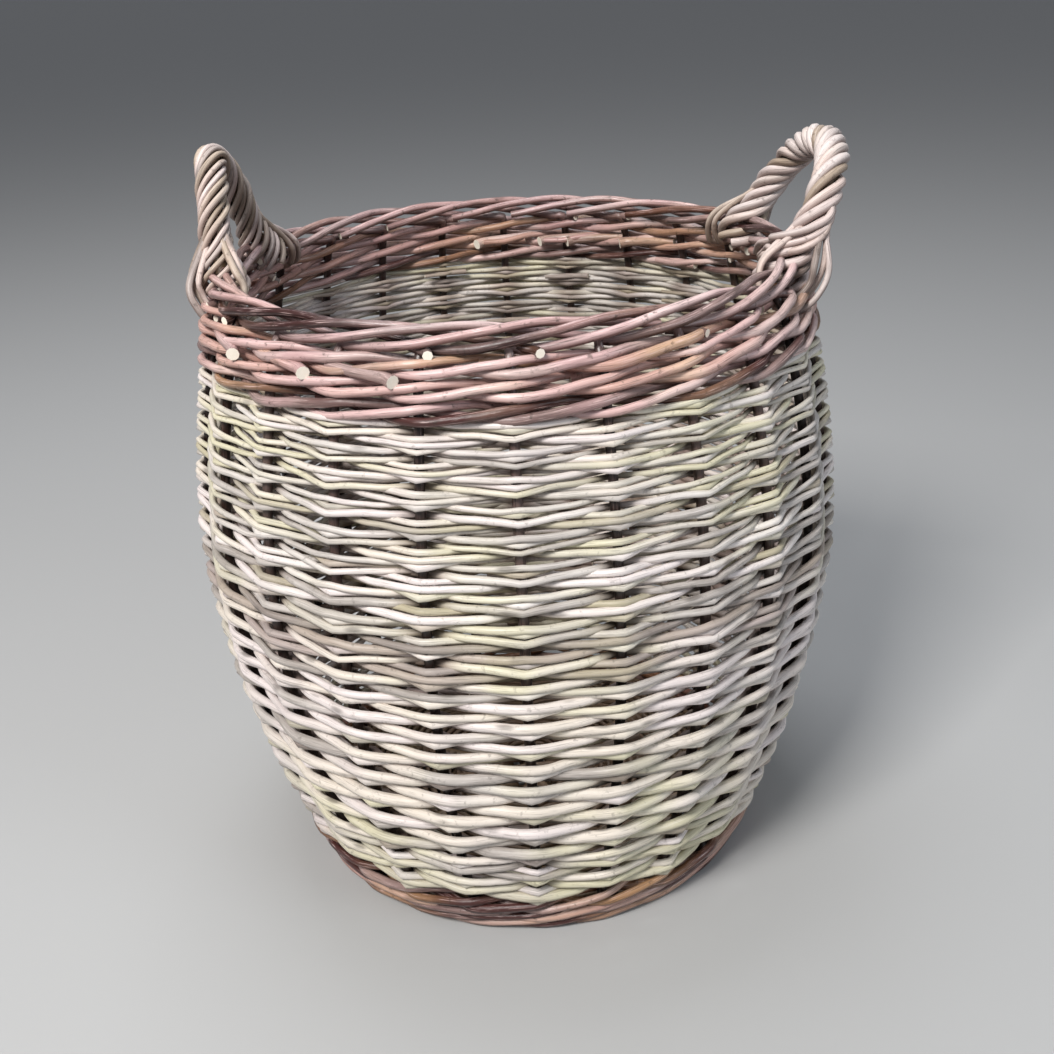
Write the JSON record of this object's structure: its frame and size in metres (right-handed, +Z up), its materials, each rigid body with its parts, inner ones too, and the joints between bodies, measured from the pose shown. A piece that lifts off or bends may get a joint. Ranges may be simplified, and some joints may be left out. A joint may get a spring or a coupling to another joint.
{
  "type": "wicker log basket",
  "caption": "Round bulging willow basket woven over upright stakes, with a rope border, a base on crossed sticks and two fixed roped handles, for holding logs.",
  "frame": {"origin": "on the floor, at the centre of the base", "axes": "+Z up; -Y is the front, and the two handles stand near +X and -X, a little behind the middle"},
  "size_m": [0.4598, 0.4598, 0.519],
  "materials": {
    "stick": "peeled willow stick, dry",
    "base": "fine woven willow, dry",
    "stake": "brown willow bark, satin",
    "siding": "white peeled willow, satin",
    "wale": "brown willow bark, satin",
    "handle": "twisted pale willow rods, satin"
  },
  "bodies": {
    "root": {"base_slit_stick_1": "stick", "base_slit_stick_2": "stick", "base_slit_stick_3": "stick", "base_through_stick_1": "stick", "base_through_stick_2": "stick", "base_through_stick_3": "stick", "base_weave": "base", "foot_wale": "wale", "upset_wale": "wale", "stake_01": "stake", "stake_02": "stake", "stake_03": "stake", "stake_04": "stake", "stake_05": "stake", "stake_06": "stake", "stake_07": "stake", "stake_08": "stake", "stake_09": "stake", "stake_10": "stake", "stake_11": "stake", "stake_12": "stake", "stake_13": "stake", "stake_14": "stake", "stake_15": "stake", "stake_16": "stake", "stake_17": "stake", "stake_18": "stake", "stake_19": "stake", "stake_20": "stake", "stake_21": "stake", "stake_22": "stake", "stake_23": "stake", "stake_24": "stake", "lower_siding_1": "siding", "lower_siding_2": "siding", "lower_siding_3": "siding", "lower_siding_4": "siding", "lower_siding_5": "siding", "lower_siding_6": "siding", "lower_siding_7": "siding", "upper_siding_1": "siding", "upper_siding_2": "siding", "upper_siding_3": "siding", "upper_siding_4": "siding", "upper_siding_5": "siding", "upper_siding_6": "siding", "top_wale_1": "wale", "top_wale_2": "wale", "handle_right_bow": "stick", "handle_right_rope": "handle", "handle_right_strap_front": "handle", "handle_right_strap_back": "handle", "handle_left_bow": "stick", "handle_left_rope": "handle", "handle_left_strap_front": "handle", "handle_left_strap_back": "handle"}
  },
  "joints": []
}
